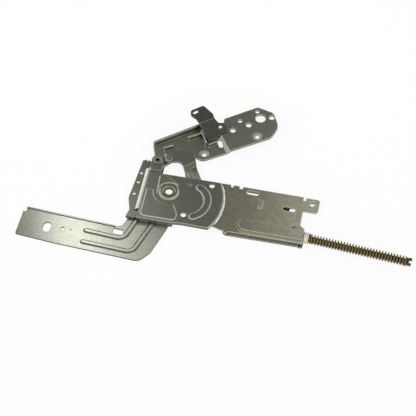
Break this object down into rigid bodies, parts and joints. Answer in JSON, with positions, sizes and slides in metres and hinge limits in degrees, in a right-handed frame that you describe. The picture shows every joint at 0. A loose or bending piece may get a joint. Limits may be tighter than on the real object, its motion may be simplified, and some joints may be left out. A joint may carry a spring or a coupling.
{
  "type": "dishwasher door hinge",
  "caption": "Dishwasher door hinge: stamped steel base with an L-shaped mounting arm, a swinging door arm, a pull link and a spring-loaded rod.",
  "frame": {"origin": "middle of the bore in the hub cover, on its axis", "axes": "+Z along the bore, out of the cover's face; +X along the housing towards the spring; +Y towards the door arm"},
  "size_m": [0.3919, 0.2097, 0.0226],
  "materials": {
    "steel_cover": "satin",
    "steel_pale": "satin",
    "steel_arm": "satin",
    "steel_latch": "satin",
    "steel_bright": "satin",
    "spring_steel": "satin",
    "collar_plastic": "satin"
  },
  "bodies": {
    "base": {"mounting_arm": "steel_pale", "hub_cover": "steel_cover", "spring_housing": "steel_cover", "housing_back": "steel_cover", "spring_collar": "collar_plastic", "arm_pivot_pin": "steel_bright", "pivot_spacer": "steel_bright", "door_spring": "spring_steel", "weld_tack_1": "steel_bright", "weld_tack_2": "steel_bright", "weld_tack_3": "steel_bright", "weld_tack_4": "steel_bright"},
    "arm": {"door_arm": "steel_arm", "latch_bracket": "steel_latch", "latch_rivet_1": "steel_bright", "latch_rivet_2": "steel_bright", "link_rivet": "steel_bright"},
    "link": {"curved_link": "steel_arm"},
    "rod": {"pull_rod": "steel_bright", "rod_pin": "steel_bright"}
  },
  "joints": [
    {"name": "arm_swing", "type": "hinge", "parent": "base", "child": "arm", "pos_m": [-0.0194, 0.0369, 0], "axis": [0, 0, 1], "range_deg": [0, 90], "stiffness_Nm_per_rad": 0.58},
    {"name": "link_swing", "type": "hinge", "parent": "arm", "child": "link", "pos_m": [-0.00843, 0.04036, 0], "axis": [0, 0, 1], "range_deg": [-101, 0]},
    {"name": "rod_slide", "type": "slide", "parent": "base", "child": "rod", "axis": [-0.9966, 0.0825, 0], "range_m": [0, 0.0247], "deforming": ["door_spring"]}
  ],
  "couplings": [
    {"joint": "link_swing", "follows": "arm_swing", "ratio": -1.114},
    {"joint": "rod_slide", "follows": "arm_swing", "m_per_rad": 0.015574}
  ]
}
